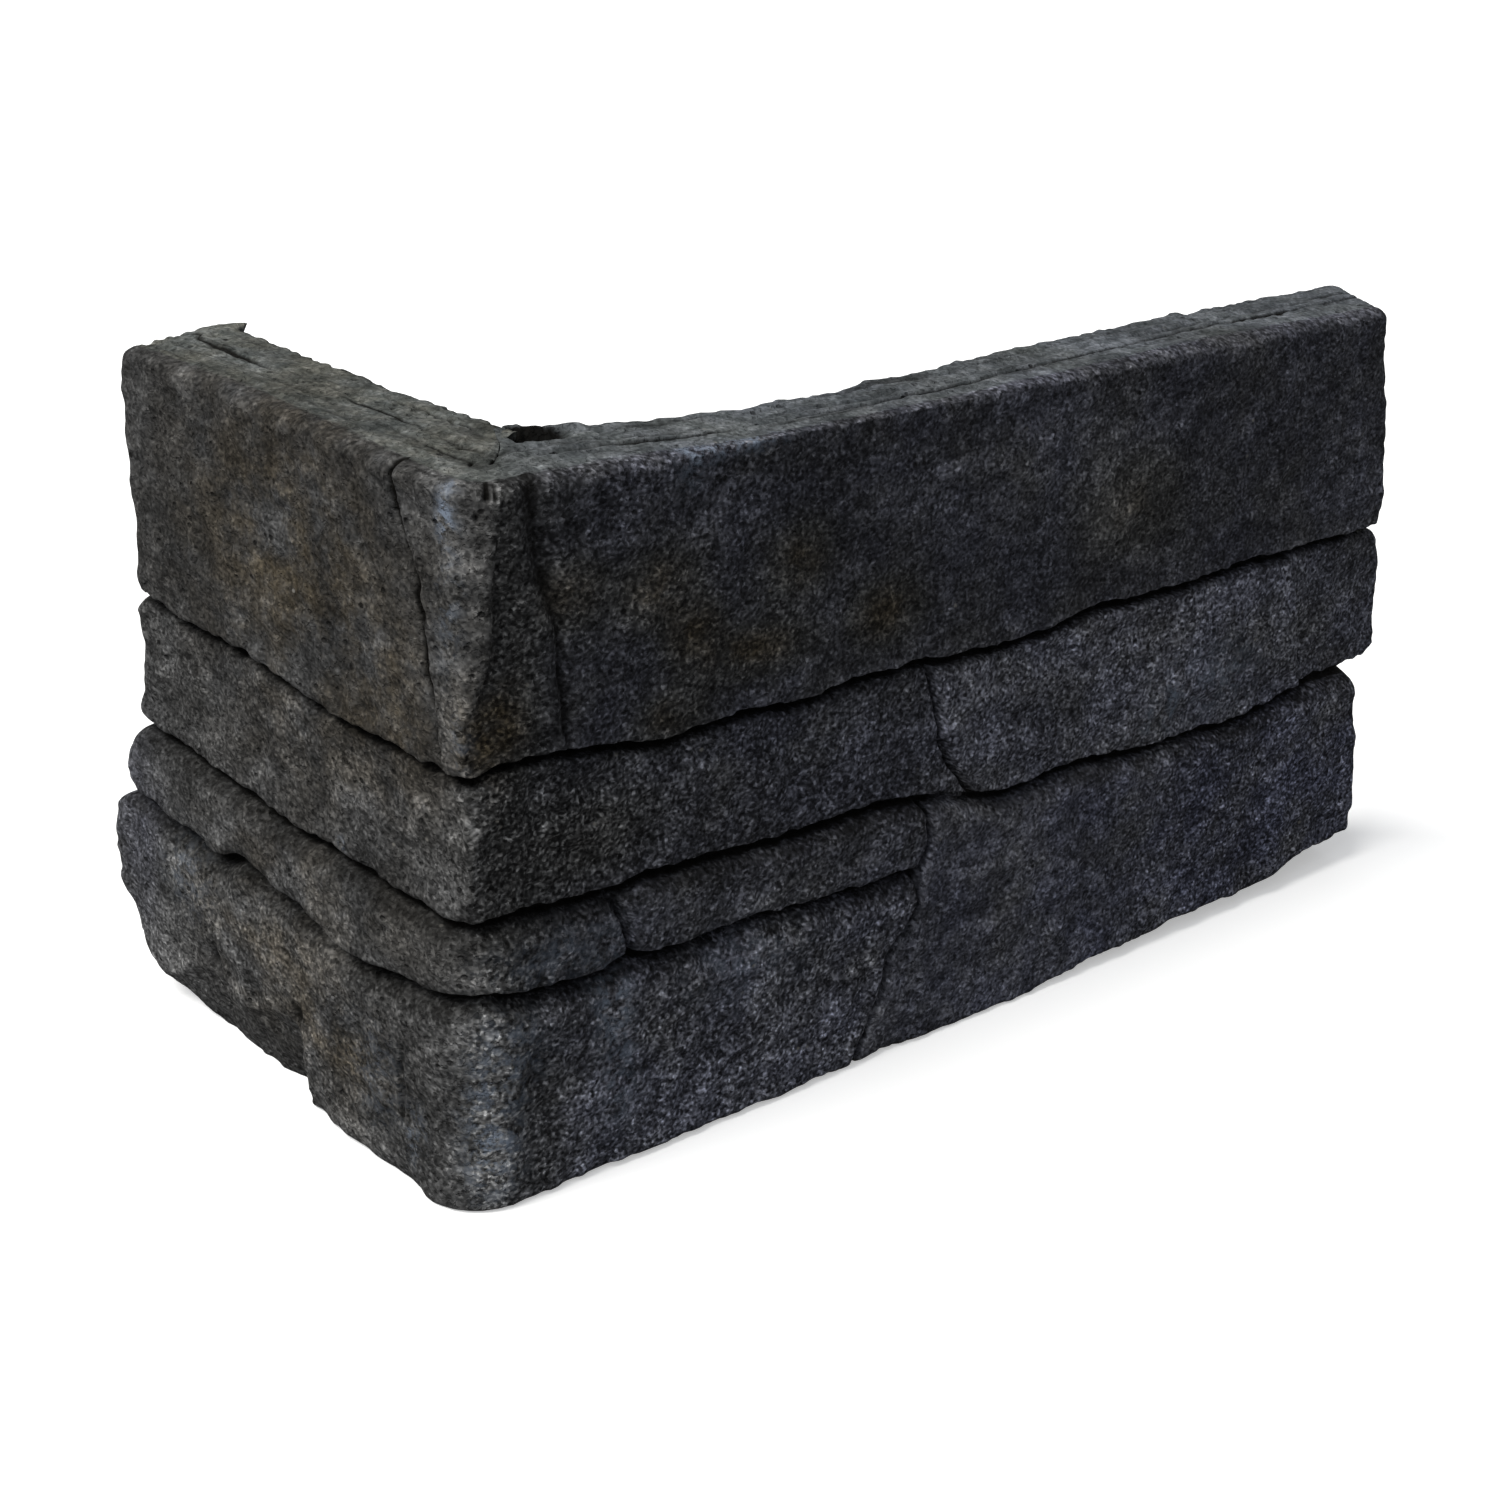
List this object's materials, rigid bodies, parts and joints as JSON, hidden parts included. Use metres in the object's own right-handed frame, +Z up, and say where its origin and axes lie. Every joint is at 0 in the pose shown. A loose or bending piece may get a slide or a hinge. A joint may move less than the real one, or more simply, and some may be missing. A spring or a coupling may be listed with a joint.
{
  "type": "stone cladding corner piece",
  "caption": "L-shaped cast concrete cladding corner: two outer faces like dry-laid stone in courses, flat inner faces that wrap the outer corner of a wall.",
  "frame": {"origin": "the wall's own corner edge, where the two flat inner faces meet, at the height of the bed", "axes": "+Z up the wall as laid; +X along the long leg, away from the corner; +Y along the short leg. The long leg's outer face looks to -Y and the short leg's to -X"},
  "size_m": [0.286, 0.141, 0.15],
  "materials": {
    "cast_stone": "matt charcoal wet-cast concrete with a riven stone face"
  },
  "bodies": {
    "root": {"cladding_corner": "cast_stone"}
  },
  "joints": []
}
